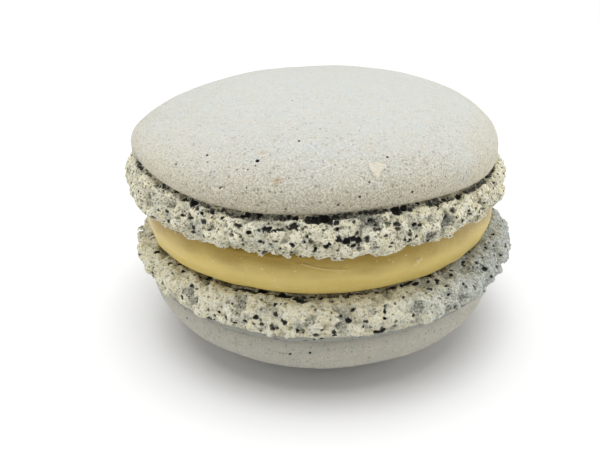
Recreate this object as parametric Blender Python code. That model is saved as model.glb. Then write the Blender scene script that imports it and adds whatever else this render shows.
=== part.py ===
"""A filled almond macaron: two baked shells, each a smooth skin over a crumbly foot, with buttercream between them.

It stands on the small flat spot of its lower shell, at z = 0, and its shown side faces -Y. The angles of the placed
bubbles are in degrees round the vertical axis, from +X towards +Y, so that -90 is the front.
"""

import math
import random

import bmesh
import bpy
from mathutils import Vector, noise

MM = 0.001

# Driving dimensions
UPPER_SKIN_RADIUS = 21.65 * MM
LOWER_SKIN_RADIUS = 21.85 * MM
UPPER_FOOT_RADIUS = 22.75 * MM
LOWER_FOOT_RADIUS = 23.25 * MM
UPPER_SHELL_HEIGHT = 11.85 * MM
LOWER_SHELL_HEIGHT = 12.95 * MM
FOOT_HEIGHT = 4.3 * MM
BELLY_HEIGHT = FOOT_HEIGHT + 1.0 * MM
FILLING_THICKNESS = 5.3 * MM
FILLING_BASE_RADIUS = 20.0 * MM
FILLING_CROWN_RADIUS = 20.5 * MM
FILLING_BULGE = 0.55 * MM
FILLING_EDGE_ROUND = 0.9 * MM
FILLING_EDGE_SHARE = 0.04
UPPER_SHELL_SHIFT = -1.05 * MM
RESTING_SPOT_RADIUS = 7.5 * MM
CONTACT_GAP = 0.3 * MM

# How much further than round the buttercream's bulge was pressed out: (direction, distance in millimetres)
PRESSED_OUT = [(-155, 1.2), (-45, -0.3)]
PRESSED_SHARPNESS = 4
PRESSED_FROM_RADIUS = 18.0 * MM

# Shares of the foot's radius where the flat side has its rings
FLAT_SIDE_RINGS = (0.0, 0.45, 0.8)

# Where the crumb's relief starts, inwards from the foot's widest line, and where it fades under the rim
RELIEF_START = 2.6 * MM
RELIEF_FULL = 1.4 * MM
RELIEF_FADE = 0.3 * MM

# Where the rim's wave starts: share of the foot's height, and shares of the skin's radius
RIM_START_HEIGHT = 0.6
RIM_START_RADIUS = 0.5
RIM_FULL_RADIUS = 0.94

# Share of the shell's height above which its crown has moved sideways all the way
CROWN_SHIFT_HEIGHT = 0.7

# Half section of a foot: (how far inside its widest line, height over the filling's side of the shell)
FOOT_OUTLINE = [
    (2.0 * MM, 0.02 * MM),
    (1.15 * MM, 0.2 * MM),
    (0.5 * MM, 0.6 * MM),
    (0.1 * MM, 1.15 * MM),
    (0.0, 1.75 * MM),
    (0.12 * MM, 2.35 * MM),
    (0.4 * MM, 2.95 * MM),
    (0.85 * MM, 3.45 * MM),
]

# Half section of the lip where the skin hangs over the foot: (how far inside the skin's widest line, height)
GROOVE_HEIGHT = 3.85 * MM
LIP_OUTLINE = [(0.45 * MM, FOOT_HEIGHT - 0.05 * MM), (0.12 * MM, FOOT_HEIGHT + 0.35 * MM)]

# Mesh fineness
MERGE_DISTANCE = 0.001 * MM
SHARP_ANGLE = math.radians(50)
SHELL_STEPS = 126
FILLING_STEPS = 96
SKIN_ROWS = 9
FILLING_ROWS = 8

# Relief of the crumb
CRAG_SIZE = 2.4 * MM
CRAG_HEIGHT = 0.5 * MM
CRAG_ROUGHNESS = 1.0
CRAG_OCTAVES = 3
EDGE_RAGGEDNESS = 0.4 * MM
RAGGED_SIZE = 2.5 * MM
BUBBLE_DEPTH_SHARE = 0.75

# Open bubbles that show at the front: (angle, height, radius in millimetres)
UPPER_BUBBLES = [
    (-142, 0.6, 0.9),
    (-133, 1.3, 0.9),
    (-132, 3.3, 1.0),
    (-125, 2.8, 1.0),
    (-120, 1.1, 0.9),
    (-112, 1.8, 1.0),
    (-107, 2.5, 0.9),
    (-102, 3.3, 1.2),
    (-96, 3.6, 1.2),
    (-96, 1.6, 0.9),
    (-92, 2.2, 1.0),
    (-84, 2.1, 1.3),
    (-81, 0.3, 0.9),
    (-77, 3.5, 1.5),
    (-69, 3.0, 1.2),
    (-64, 2.9, 1.0),
    (-60, 0.4, 1.5),
    (-58, 3.0, 0.9),
    (-52, 1.6, 0.9),
]
LOWER_BUBBLES = [
    (-129, 1.0, 0.9),
    (-121, 2.8, 0.9),
    (-115, 2.7, 0.8),
    (-112, 0.6, 1.0),
    (-103, 2.2, 0.9),
    (-97, 0.2, 1.2),
    (-95, 1.1, 1.1),
    (-87, 1.8, 0.9),
    (-84, 1.1, 0.9),
    (-78, 0.5, 1.1),
    (-76, 3.0, 1.2),
    (-66, 0.9, 1.1),
    (-55, 1.0, 1.0),
    (-49, 1.9, 0.9),
]

# The other bubbles are drawn over the rest of the round
DRAWN_BUBBLES = 42
DRAWN_FROM = math.radians(-40)
DRAWN_TO = math.radians(214)
DRAWN_HEIGHTS = (0.2 * MM, 3.9 * MM)
DRAWN_RADII = (0.7 * MM, 1.4 * MM)


def wave(angle, harmonics):
    """A closed wavy line: harmonics holds the cosine and sine shares of 1, 2, 3... waves round the cake."""
    return sum(
        cosine * math.cos(count * angle) + sine * math.sin(count * angle)
        for count, (cosine, sine) in enumerate(harmonics, 1)
    )


def smooth_step(low, high, value):
    """0 below low, 1 above high, and a smooth rise between them."""
    share = min(1.0, max(0.0, (value - low) / (high - low)))
    return share * share * (3 - 2 * share)


class Shell:
    """One baked shell, built with its foot down: h is the height over the side that lies on the filling.

    roundness and fullness are the powers of the superellipse that its skin follows, outwards and upwards.
    """

    def __init__(
        self, height, skin, foot, groove, roundness, fullness, lean, crown_shift, rim_wave, foot_wave, tilt_wave,
        shown_bubbles, seed
    ):
        self.height = height
        self.skin = skin
        self.foot = foot
        self.groove = groove
        self.roundness = roundness
        self.fullness = fullness
        self.lean = lean
        self.crown_shift = crown_shift
        self.rim_wave = rim_wave
        self.foot_wave = foot_wave
        self.tilt_wave = tilt_wave
        self.seed = seed
        self.bubbles = self.all_bubbles(shown_bubbles)

    def all_bubbles(self, shown):
        """The placed bubbles, and a seeded draw of others: (angle, h, radius)."""
        draw = random.Random(self.seed)
        placed = [(math.radians(angle), h * MM, radius * MM) for angle, h, radius in shown]
        drawn = [
            (draw.uniform(DRAWN_FROM, DRAWN_TO), draw.uniform(*DRAWN_HEIGHTS), draw.uniform(*DRAWN_RADII))
            for _ in range(DRAWN_BUBBLES)
        ]
        return placed + drawn

    def outline(self):
        """The (radius, h) stations of the half section, from the middle of the flat side to the crown."""
        flat_side = [(share * self.foot, 0.0) for share in FLAT_SIDE_RINGS]
        face = [(self.foot - inset, h) for inset, h in FOOT_OUTLINE]
        groove = [(self.skin - self.groove, GROOVE_HEIGHT)]
        lip = [(self.skin - inset, h) for inset, h in LIP_OUTLINE]
        return flat_side + face + groove + lip + self.skin_outline()

    def skin_outline(self):
        """The smooth skin: a superellipse from its widest line to its crown."""
        rise = self.height - BELLY_HEIGHT
        stations = []
        for row in range(SKIN_ROWS):
            turn = 0.5 * math.pi * row / SKIN_ROWS
            radius = self.skin * math.cos(turn) ** (2 / self.roundness)
            stations.append((radius, BELLY_HEIGHT + rise * math.sin(turn) ** (2 / self.fullness)))
        return stations + [(0.0, self.height)]

    def crumb_share(self, radius, h):
        """1 on the crumb of the foot, and 0 on the skin and where the filling touches."""
        below_rim = 1 - smooth_step(FOOT_HEIGHT - RELIEF_FADE, FOOT_HEIGHT, h)
        beyond_filling = smooth_step(self.foot - RELIEF_START, self.foot - RELIEF_FULL, radius)
        return below_rim * beyond_filling

    def rim_share(self, radius, h):
        """1 on the rim of the skin, fading down the foot, up to the crown and in to the middle."""
        from_foot = smooth_step(RIM_START_HEIGHT * FOOT_HEIGHT, FOOT_HEIGHT, h)
        to_crown = 1 - smooth_step(FOOT_HEIGHT, self.height, h)
        return from_foot * to_crown * smooth_step(RIM_START_RADIUS * self.skin, RIM_FULL_RADIUS * self.skin, radius)

    def relief(self, point, angle, radius, h):
        """How far the crumb stands out from the plain foot at this point: crags, less the open bubbles."""
        sample = point / CRAG_SIZE + Vector((self.seed, 0, 0))
        crag = noise.fractal(sample, CRAG_ROUGHNESS, 2.0, CRAG_OCTAVES)
        depth = 0.0
        for bubble_angle, bubble_h, bubble_radius in self.bubbles:
            turn = math.remainder(angle - bubble_angle, 2 * math.pi)
            away = math.hypot(turn * radius, h - bubble_h) / bubble_radius
            if away < 1:
                depth = max(depth, BUBBLE_DEPTH_SHARE * bubble_radius * (1 - away * away))
        return CRAG_HEIGHT * crag - depth

    def shaped(self, vert):
        """Where a vertex of the spun shell goes: crumb and ragged edge, wavy foot and rim, leaning crown."""
        radius = math.hypot(vert.co.x, vert.co.y)
        h = vert.co.z
        angle = math.atan2(vert.co.y, vert.co.x)
        outward = Vector((math.cos(angle), math.sin(angle), 0))
        place = vert.co.copy()
        crumb = self.crumb_share(radius, h)
        if crumb > 0:
            ragged = noise.noise(outward * self.foot / RAGGED_SIZE + Vector((0, 0, self.seed)))
            place += vert.normal * crumb * self.relief(vert.co, angle, radius, h)
            place += outward * crumb * wave(angle, self.foot_wave)
            place.z += crumb * (EDGE_RAGGEDNESS * ragged + wave(angle, self.tilt_wave))
        place.z += self.rim_share(radius, h) * wave(angle, self.rim_wave)
        place.z += self.lean * vert.co.x * smooth_step(FOOT_HEIGHT, self.height, h)
        place.x += self.crown_shift * smooth_step(FOOT_HEIGHT, CROWN_SHIFT_HEIGHT * self.height, h)
        return place

    def build(self):
        """The shell as a closed bmesh, foot down."""
        bm = spin_outline(self.outline(), SHELL_STEPS)
        places = [self.shaped(vert) for vert in bm.verts]
        for vert, place in zip(bm.verts, places):
            vert.co = place
        return bm


def spin_outline(stations, steps):
    """A closed bmesh: the half section spun once round the vertical axis, with its poles and seam closed."""
    bm = bmesh.new()
    verts = [bm.verts.new((radius, 0, height)) for radius, height in stations]
    edges = [bm.edges.new(pair) for pair in zip(verts, verts[1:])]
    bmesh.ops.spin(
        bm, geom=verts + edges, cent=(0, 0, 0), axis=(0, 0, 1), angle=2 * math.pi, steps=steps, use_duplicate=False
    )
    bmesh.ops.remove_doubles(bm, verts=bm.verts, dist=MERGE_DISTANCE)
    bmesh.ops.recalc_face_normals(bm, faces=bm.faces)
    bm.normal_update()
    return bm


def flatten_crown(bm, height, spot_radius):
    """Presses the crown flat as far out as the spot that the macaron stands on."""
    for vert in bm.verts:
        if vert.co.z > 0.5 * height and math.hypot(vert.co.x, vert.co.y) <= spot_radius:
            vert.co.z = height


def turn_over(bm):
    """Mirrors the shell top to bottom, and turns its faces so that they still point out."""
    for vert in bm.verts:
        vert.co.z = -vert.co.z
    bmesh.ops.reverse_faces(bm, faces=bm.faces)


def finish_object(name, bm, location, material):
    """Turns the bmesh into a named object, shaded smooth, at its place."""
    mesh = bpy.data.meshes.new(name)
    bm.to_mesh(mesh)
    bm.free()
    mesh.shade_smooth()
    mesh.set_sharp_from_angle(angle=SHARP_ANGLE)
    mesh.materials.append(material)
    obj = bpy.data.objects.new(name, mesh)
    obj.location = location
    bpy.context.scene.collection.objects.link(obj)
    return obj


def make_material(name, colour, roughness):
    """A Principled BSDF with one plain colour."""
    material = bpy.data.materials.new(name)
    material.use_nodes = True
    shader = material.node_tree.nodes["Principled BSDF"]
    shader.inputs["Base Color"].default_value = (*colour, 1)
    shader.inputs["Roughness"].default_value = roughness
    shader.inputs["Metallic"].default_value = 0.0
    return material


def add_upper_shell(material):
    """The shell on top, with its foot down on the filling. Its rim is wavy and its crown leans to the right."""
    shell = Shell(
        height=UPPER_SHELL_HEIGHT,
        skin=UPPER_SKIN_RADIUS,
        foot=UPPER_FOOT_RADIUS,
        groove=1.5 * MM,
        roundness=2.35,
        fullness=2.1,
        lean=0.03,
        crown_shift=0.4 * MM,
        rim_wave=[(-0.35 * MM, -0.45 * MM), (-0.04 * MM, 0.07 * MM), (-0.19 * MM, -0.24 * MM), (0.11 * MM, 0.26 * MM)],
        foot_wave=[(0.12 * MM, 0.05 * MM), (0.08 * MM, -0.1 * MM), (0.05 * MM, 0.12 * MM)],
        tilt_wave=[(0.0, 0.0)],
        shown_bubbles=UPPER_BUBBLES,
        seed=11,
    )
    place = (UPPER_SHELL_SHIFT, 0, LOWER_SHELL_HEIGHT + FILLING_THICKNESS)
    return finish_object("upper_shell", shell.build(), place, material)


def add_lower_shell(material):
    """The shell beneath, made the same way and turned over, with a flat spot where its skin stands."""
    shell = Shell(
        height=LOWER_SHELL_HEIGHT,
        skin=LOWER_SKIN_RADIUS,
        foot=LOWER_FOOT_RADIUS,
        groove=0.7 * MM,
        roundness=2.6,
        fullness=2.15,
        lean=0.0,
        crown_shift=0.0,
        rim_wave=[(0.0, -0.1 * MM), (0.0, 0.05 * MM), (0.14 * MM, 0.01 * MM), (0.05 * MM, -0.03 * MM)],
        foot_wave=[(0.42 * MM, 0.06 * MM), (0.12 * MM, 0.05 * MM), (0.1 * MM, -0.06 * MM)],
        tilt_wave=[(-0.15 * MM, 0.0), (-0.2 * MM, 0.0)],
        shown_bubbles=LOWER_BUBBLES,
        seed=29,
    )
    bm = shell.build()
    flatten_crown(bm, shell.height, RESTING_SPOT_RADIUS)
    turn_over(bm)
    return finish_object("lower_shell", bm, (0, 0, LOWER_SHELL_HEIGHT), material)


def pressed_out(angle):
    """How much further than round the bulge of the buttercream reaches in this direction."""
    return sum(
        distance * MM * max(0.0, math.cos(angle - math.radians(direction))) ** PRESSED_SHARPNESS
        for direction, distance in PRESSED_OUT
    )


def add_filling(material):
    """The disc of buttercream, pressed out to a soft bulge between the two feet."""
    low = CONTACT_GAP
    high = FILLING_THICKNESS - CONTACT_GAP
    thickness = high - low
    stations = [(0.0, low), (0.5 * FILLING_BASE_RADIUS, low), (FILLING_BASE_RADIUS - FILLING_EDGE_ROUND, low)]
    for row in range(FILLING_ROWS + 1):
        share = row / FILLING_ROWS
        straight = FILLING_BASE_RADIUS + (FILLING_CROWN_RADIUS - FILLING_BASE_RADIUS) * share
        height = low + thickness * (FILLING_EDGE_SHARE + (1 - 2 * FILLING_EDGE_SHARE) * share)
        stations.append((straight + FILLING_BULGE * math.sin(math.pi * share), height))
    stations += [(FILLING_CROWN_RADIUS - FILLING_EDGE_ROUND, high), (0.5 * FILLING_CROWN_RADIUS, high), (0.0, high)]
    bm = spin_outline(stations, FILLING_STEPS)
    edge_wave = [(0.1 * MM, -0.05 * MM), (-0.12 * MM, 0.08 * MM), (0.05 * MM, 0.1 * MM)]
    for vert in bm.verts:
        radius = math.hypot(vert.co.x, vert.co.y)
        if radius > PRESSED_FROM_RADIUS:
            angle = math.atan2(vert.co.y, vert.co.x)
            bulging = math.sin(math.pi * (vert.co.z - low) / thickness)
            grown = 1 + (wave(angle, edge_wave) + bulging * pressed_out(angle)) / radius
            vert.co.x *= grown
            vert.co.y *= grown
    return finish_object("filling", bm, (0, 0, LOWER_SHELL_HEIGHT), material)


def stand_on_origin(objects):
    """Slides the whole macaron sideways, so that the middle of its base is at the origin."""
    corners = [obj.matrix_world @ vert.co for obj in objects for vert in obj.data.vertices]
    middle_x = 0.5 * (min(corner.x for corner in corners) + max(corner.x for corner in corners))
    middle_y = 0.5 * (min(corner.y for corner in corners) + max(corner.y for corner in corners))
    for obj in objects:
        obj.location.x -= middle_x
        obj.location.y -= middle_y


def main():
    for obj in list(bpy.data.objects):
        bpy.data.objects.remove(obj)
    shell_material = make_material("baked_shell", (0.56, 0.56, 0.51), 0.75)
    cream_material = make_material("buttercream", (0.56, 0.43, 0.13), 0.45)
    made = [add_lower_shell(shell_material), add_filling(cream_material), add_upper_shell(shell_material)]
    bpy.context.view_layer.update()
    stand_on_origin(made)


main()
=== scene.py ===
"""The looks of a filled almond macaron: smooth baked skins over open crumbly feet, and soft buttercream between them.

Lengths are in millimetres until a mesh is finished, and heights count up from the surface that it stands on. In a
shell, a height counts from the side that lies on the filling, towards the crown.
"""

import math
from types import SimpleNamespace

import bmesh
import bpy
import numpy as np
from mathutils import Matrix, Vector, noise
from mathutils.bvhtree import BVHTree
from mathutils.kdtree import KDTree


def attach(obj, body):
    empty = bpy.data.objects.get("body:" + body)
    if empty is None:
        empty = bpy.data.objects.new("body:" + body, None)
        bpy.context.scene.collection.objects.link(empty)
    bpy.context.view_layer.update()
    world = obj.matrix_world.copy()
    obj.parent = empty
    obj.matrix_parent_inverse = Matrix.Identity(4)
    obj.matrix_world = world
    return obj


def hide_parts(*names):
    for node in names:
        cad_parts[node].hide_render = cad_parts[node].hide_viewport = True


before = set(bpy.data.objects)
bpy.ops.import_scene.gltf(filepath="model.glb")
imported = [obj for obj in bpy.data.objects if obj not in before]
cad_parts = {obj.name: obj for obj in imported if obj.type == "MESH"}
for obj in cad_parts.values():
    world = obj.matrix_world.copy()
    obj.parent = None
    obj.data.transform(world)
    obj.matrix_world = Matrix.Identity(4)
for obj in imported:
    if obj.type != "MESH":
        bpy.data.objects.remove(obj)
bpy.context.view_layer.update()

MM = 0.001

# Camera, from the middle of the lower shell, and the photograph's frame in pixels
CAMERA_PLACE = Vector((-2.68, -77.24, 49.12))
CAMERA_TARGET = Vector((-2.68, 0.0, 11.3))
FOCAL_PIXELS = 660.8
PHOTO_WIDTH = 600
PHOTO_HEIGHT = 450
SENSOR_WIDTH = 36.0

# Heights at which the two shells lie on the filling, how much higher its own sides lie, and its wavy edge
LOWER_CONTACT = 12.95
UPPER_CONTACT = 18.25
FILLING_RISE = 0.05
FILLING_WAVE = [(0.1, -0.05), (-0.12, 0.08), (0.05, 0.1)]

# How much further than round the filling was pressed out: (direction in degrees, distance, sharpness)
PRESSED_OUT = [(-155, 1.2, 4), (-50, -0.4, 4), (0, 0.55, 4)]

# The filling's side: its radius below, what it gains upwards and in its bulge, and its two rounded edges as
# (depth, share of the thickness)
FILLING_RADIUS = 20.0
FILLING_FLARE = 0.5
FILLING_BULGE = 0.55
LOWER_TUCK = (0.9, 0.16)
UPPER_TUCK = (0.5, 0.1)

# Radii between which its unevenness sets in
FILLING_SIDE = (18.0, 19.4)

# Soft unevenness, as (size, rise): of the filling's side, of its surface, of its beads' edges, and of the skins
FILLING_LUMPS = (3.2, 0.16)
FILLING_GRAIN = (0.55, 0.012)
BEAD_EDGE = (0.3, 0.5)
SKIN_LUMPS = (6.0, 0.1)
SKIN_GRAIN = (1.6, 0.03)

# Half section of a foot: two quarter ellipses that meet at its widest line
FOOT_TOP = 4.3
FOOT_WIDEST = 1.75
FOOT_RIM_START = 0.6 * FOOT_TOP
EDGE_DEPTH = 2.0
FOOT_INNER_RADIUS = 18.0

# Where the foot leaves what the filling hides, and the height over which its thin sides are pressed together
FOOT_SHOWN = (18.5, 19.3)
THIN_FOOT = 2.4

# Half section of a skin: the heights of its hidden underside and of its widest line
SKIN_UNDERSIDE = 3.85
BELLY = 5.3

# Relief of the crumb: (size, rise), and the furthest that it stands out of the plain foot
CRAGS = (2.6, 1.7)
LUMPS = (1.45, 0.75)
GRAINS = (0.46, 1.0)
RELIEF_LIMIT = 0.4

# Size and reach of the push that makes its holes and lumps ragged
TEAR = (0.7, 0.3)

# Bubbles of the crumb: (spacing, smallest and largest radius, share of places with one, that share on the shown side)
BUBBLES = [(2.3, 0.3, 0.65, 0.4, 0.0), (1.0, 0.14, 0.3, 0.6, 0.55)]
BUBBLE_BLEND = 0.05
VOID_FLATNESS = (1.0, 1.0, 1.35)
SHOWN_SIDE = (-2.0, -7.0)

# Heights between which the crumb smooths out to the skin, and how far that smooth skirt lies in
SKIRT = (2.5, 3.2)
SKIRT_DEPTH = 0.15

# Size of the changes in width along a torn line
LINE_CHANGE = 2.4

# Fineness of the crumb, before and after its voids are placed, and the room that its grid keeps round and under the
# foot, and over it
CLOSED_VOXEL = 0.3
CRUMB_VOXEL = 0.14
CRUMB_ROOM = 1.5
CRUMB_HEADROOM = 1.0

# The most faces that a foot keeps, and the vertices below which a loose scrap goes
CRUMB_FACES = 190_000
SCRAP_VERTICES = 5000

# Fineness of the lathed pieces
LATHE_STEPS = 448
LATHE_ROW = 0.15
FILLING_ROW = 0.1
HIDDEN_ROWS = 16

# Open bubbles that the photograph shows, by pixel: (x, y, radius), and shallow ones with a smooth wall, painted grey
# partly as its own colour and partly as painted shade
UPPER_VOIDS = [
    (185, 199, 0.25), (193.5, 203, 0.45), (183, 215.5, 0.2), (189, 218, 0.25), (205, 210, 0.2), (222, 218, 0.28),
    (213, 213, 0.18), (236, 224, 0.2), (239, 226, 0.18), (209, 230, 0.17), (204, 237, 0.25), (217, 237, 0.16),
    (231, 236, 0.3), (248, 233, 0.3), (169, 222, 0.25), (152.5, 218, 0.3), (152, 204, 0.2), (158, 210, 0.16),
    (141, 212, 0.2), (265, 228, 0.22), (270, 229, 0.28), (275, 230, 0.35), (279, 229, 0.3), (289, 228, 0.3),
    (293, 226, 0.36), (298, 229, 0.22), (276, 242, 0.24), (270, 244, 0.16), (293, 246, 0.28), (307, 237, 0.22),
    (311, 242, 0.26), (261, 241, 0.18), (258, 216, 0.4), (289, 216, 0.3), (296, 218, 0.32), (309, 219, 0.5),
    (316, 219, 0.6), (324, 219, 0.55), (330, 221, 0.45), (337, 222, 0.3), (398, 211, 0.55), (404, 208, 0.4),
    (383, 212, 0.25), (397, 224, 0.28), (398, 229, 0.25), (414, 224, 0.22), (420, 225, 0.2), (458, 196, 0.35),
    (340, 241, 0.35), (346, 241, 0.42), (353, 238, 0.36), (358, 240, 0.34), (353, 245, 0.2), (393, 243, 0.2),
    (329, 245, 0.26), (344, 228, 0.15), (336, 230, 0.15), (338, 234, 0.15), (371, 221, 0.34), (374, 229, 0.3),
    (429, 242, 0.45), (248, 215, 0.3), (253, 215, 0.25), (410, 209, 0.3), (361, 212, 0.2), (367, 211.5, 0.2),
    (444, 199, 0.3), (450, 198, 0.25), (176, 191, 0.25), (197, 208, 0.3), (244, 216, 0.25), (466, 193, 0.3),
]
UPPER_HOLLOWS = [
    (172, 205, 0.6), (312, 242, 0.5), (369, 220, 0.6), (374, 226, 0.7), (378, 219, 0.5), (430, 220, 0.5),
    (447, 222, 0.7), (469, 217, 0.5), (374, 249, 0.4), (432, 236, 0.9), (252, 217, 0.5), (265, 218, 0.5),
    (350, 219, 0.5), (362, 218, 0.5),
]
LOWER_VOIDS = [
    (208, 287, 0.26), (207, 290, 0.22), (170, 264, 0.3), (237, 290, 0.2), (275, 304, 0.25), (312, 306, 0.22),
    (323, 309, 0.15), (299, 310, 0.15), (386, 306, 0.3), (393, 315, 0.16), (348, 320, 0.26), (282, 321, 0.16),
    (231, 321, 0.2), (235, 323, 0.18), (215, 316, 0.22), (245, 321, 0.26), (271, 327, 0.2), (276, 328, 0.22),
    (378, 333, 0.4), (383, 330, 0.36), (314, 340, 0.2), (275, 337, 0.16), (290, 336, 0.14), (413, 284, 0.24),
    (428, 281, 0.2), (451, 270, 0.22), (300, 300, 0.42), (304, 302, 0.42), (296, 298, 0.38), (260, 290, 0.36),
    (265, 292, 0.42), (282, 294, 0.4), (289, 297, 0.45), (309, 301, 0.34), (322, 297.5, 0.3), (328, 297.5, 0.22),
    (338, 296.5, 0.2), (347, 296, 0.25), (377, 292, 0.28), (387.5, 288.5, 0.2), (406, 286, 0.2), (416, 283, 0.22),
    (438, 273, 0.2), (463, 262, 0.22), (467, 258.5, 0.2), (200, 276.5, 0.25), (209, 279, 0.25),
]
LOWER_HOLLOWS = [
    (191, 293, 0.5), (197, 301, 0.45), (241, 299, 0.6), (242, 306, 0.6), (372, 311, 0.5), (311, 320, 0.7),
    (307, 325, 0.5), (338, 326, 0.5), (420, 305, 0.6), (449, 298, 0.7), (464, 298, 0.6), (245, 318, 0.4),
    (273, 325, 0.4),
]

# How far their middles lie under the surface or over it, in radii
VOID_SINK = 0.55
HOLLOW_RISE = 0.45

# Pinholes in the skins and tan spots on the upper one, by pixel: (x, y, radius), and a pinhole's depth in radii
UPPER_PINHOLES = [
    (257.5, 161, 0.2), (207, 155, 0.14), (207.5, 162, 0.1), (255.5, 166, 0.09), (248, 170, 0.09), (237, 170, 0.09),
    (299, 141, 0.14), (176, 164.5, 0.12), (220, 188, 0.11), (222, 187, 0.09), (246.5, 188, 0.09), (369.5, 182, 0.1),
    (360, 197, 0.12), (338, 205, 0.11), (285.5, 209.5, 0.11), (285, 212, 0.08), (374, 198.5, 0.07),
    (387.5, 157, 0.13), (412.5, 192, 0.13), (320, 129, 0.08), (275, 193, 0.07), (310, 176, 0.06), (342, 186, 0.06),
    (229, 178, 0.06),
]
LOWER_PINHOLES = [(290, 354.5, 0.15), (310, 353, 0.15), (187, 318, 0.13), (250, 345, 0.08), (352, 352, 0.07)]
TAN_SPOTS = [(277, 181, 0.5), (262, 153, 0.3), (233, 138, 0.25), (426, 163, 0.35), (332, 160, 0.2), (205, 178, 0.25)]
PINHOLE_DEPTH = 1.6

# Where the skins are roughest, and how far round it that fades out
ROUGH_PLACE = (0, -20, 24)
ROUGH_REACH = (17, 7)

# The loose flake on the upper skin, by pixel: its outline, and a mark at its middle
FLAKE = [
    (369, 162.5), (377, 161), (386, 164), (386.5, 168.5), (382, 171.5), (380, 177), (379.5, 181), (376.5, 181),
    (375, 176.5), (372, 173), (369, 168),
]
FLAKE_MIDDLE = (378, 170, 0)

# How far round that mark the mesh gets finer, the flake's largest radius, its rise, and the dip round its edge
FLAKE_REACH = 1.6
FLAKE_RADIUS = 3.0
FLAKE_RISE = 0.09
FLAKE_DIP = 0.05
FLAKE_DIP_WIDTH = 0.5

# The crease and the pale beads of the filling, by pixel: (x, y) and (x, y, radius)
CREASE = [(302, 264), (307, 265), (315, 267.2), (324, 269), (334, 269.7), (344, 270)]
CREASE_RISE = 0.05
CREASE_HALF_WIDTH = 0.2
CREASE_DROP = 0.04
CREASE_REACH = 0.9
BEAD_RISE = 0.35
BEADS = [
    (275, 279.5, 0.25), (278, 287, 0.15), (262, 269, 0.13), (273, 272, 0.1), (295, 271, 0.14), (418, 261, 0.36),
    (421, 259, 0.22), (415, 265, 0.26), (389, 260, 0.14), (393, 262, 0.1), (406, 255, 0.12), (377, 261, 0.08),
    (287, 288, 0.1), (296, 288, 0.12), (213, 260.5, 0.14), (246, 267.5, 0.14), (247, 270, 0.1), (241, 258, 0.1),
]

# Cuts of each edge where the mesh gets finer, and the distance that stands for no mark at all
MARK_CUTS = 2
FAR = 9.0

# Colours of the skins' blotches and small marks
PINK = (0.8, 0.66, 0.48)
GREEN = (0.48, 0.53, 0.42)
GRIT = (0.34, 0.31, 0.23)
DOT = (0.2, 0.17, 0.11)
# Painted shade: near black inside small scattered pits
PIT_SHADE = (0.06, 0.06, 0.05)
TAN = (0.44, 0.31, 0.16)
FLAKE_PALE = (0.82, 0.74, 0.6)
FLAKE_SHADOW = (0.3, 0.25, 0.17)
# Painted shade: near black inside the pinholes
PINHOLE_SHADE = (0.014, 0.016, 0.014)

# Colours of the crumb
CRUMB_PALE = (0.91, 0.9, 0.75)
CRUMB_CREAM = (0.88, 0.81, 0.55)
# Partly the crumb's own bluish grey inside, partly painted shade in its recesses and hollows
CRUMB_RECESS_AND_SHADE = (0.21, 0.23, 0.215)
CRUMB_STAIN = (0.9, 0.8, 0.42)
CRUMB_COOL = (0.48, 0.53, 0.53)
# Pale tops of the grains: partly the crumb's own drier colour, partly painted highlight
CRUMB_GRAIN_AND_HIGHLIGHT = (0.96, 0.92, 0.74)
# Painted shade in the low spots between grains
CRUMB_GAP_SHADE = (0.16, 0.14, 0.08)
# Painted shade: near black inside pores
CRUMB_PORE_SHADE = (0.02, 0.02, 0.016)
CRUMB_SKIRT = (0.2, 0.21, 0.195)
# Painted shade: near black inside voids, bubbles and cracks
CRUMB_HOLE_SHADE = (0.008, 0.01, 0.011)

# Colours of the buttercream
CREAM_DEEP = (0.67, 0.51, 0.125)
CREAM_LIGHT = (0.74, 0.58, 0.19)
CREAM_FINE = (0.8, 0.64, 0.28)
# Painted shade along the cream's top, under the upper shell
CREAM_TOP_SHADE = (0.34, 0.215, 0.01)
BEAD = (0.82, 0.69, 0.36)

# Floor and light: a white world, a wide sun overhead, and softboxes as (name, place, watts)
FLOOR_METRES = 6
FLOOR_COLOUR = (0.86, 0.86, 0.86, 1)
WORLD_STRENGTH = 0.41
SUN_STRENGTH = 2.4
SUN_WIDTH = math.radians(50)
SUN_TILT = (math.radians(3), math.radians(-2), 0)
SOFTBOX_SIZE = 200
SOFTBOXES = [("left_softbox", (-260, 20, 50), 0.18), ("right_softbox", (260, 20, 50), 0.25)]
LIT_POINT = Vector((0, 0, 15))


def operator(operation, swapped=False):
    """A method of Value that makes the node of one operation."""

    def method(self, other):
        first, second = (other, self) if swapped else (self, other)
        return self.graph.math(operation, first, second)

    return method


class Value:
    """A node's output that can be used like a number: each sum or product makes its own node."""

    def __init__(self, graph, socket):
        self.graph = graph
        self.socket = socket

    __add__, __radd__ = operator("ADD"), operator("ADD", swapped=True)
    __sub__, __rsub__ = operator("SUBTRACT"), operator("SUBTRACT", swapped=True)
    __mul__, __rmul__ = operator("MULTIPLY"), operator("MULTIPLY", swapped=True)
    __truediv__, __rtruediv__ = operator("DIVIDE"), operator("DIVIDE", swapped=True)
    __gt__, __lt__ = operator("GREATER_THAN"), operator("LESS_THAN")
    at_least, at_most = operator("MAXIMUM"), operator("MINIMUM")


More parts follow.
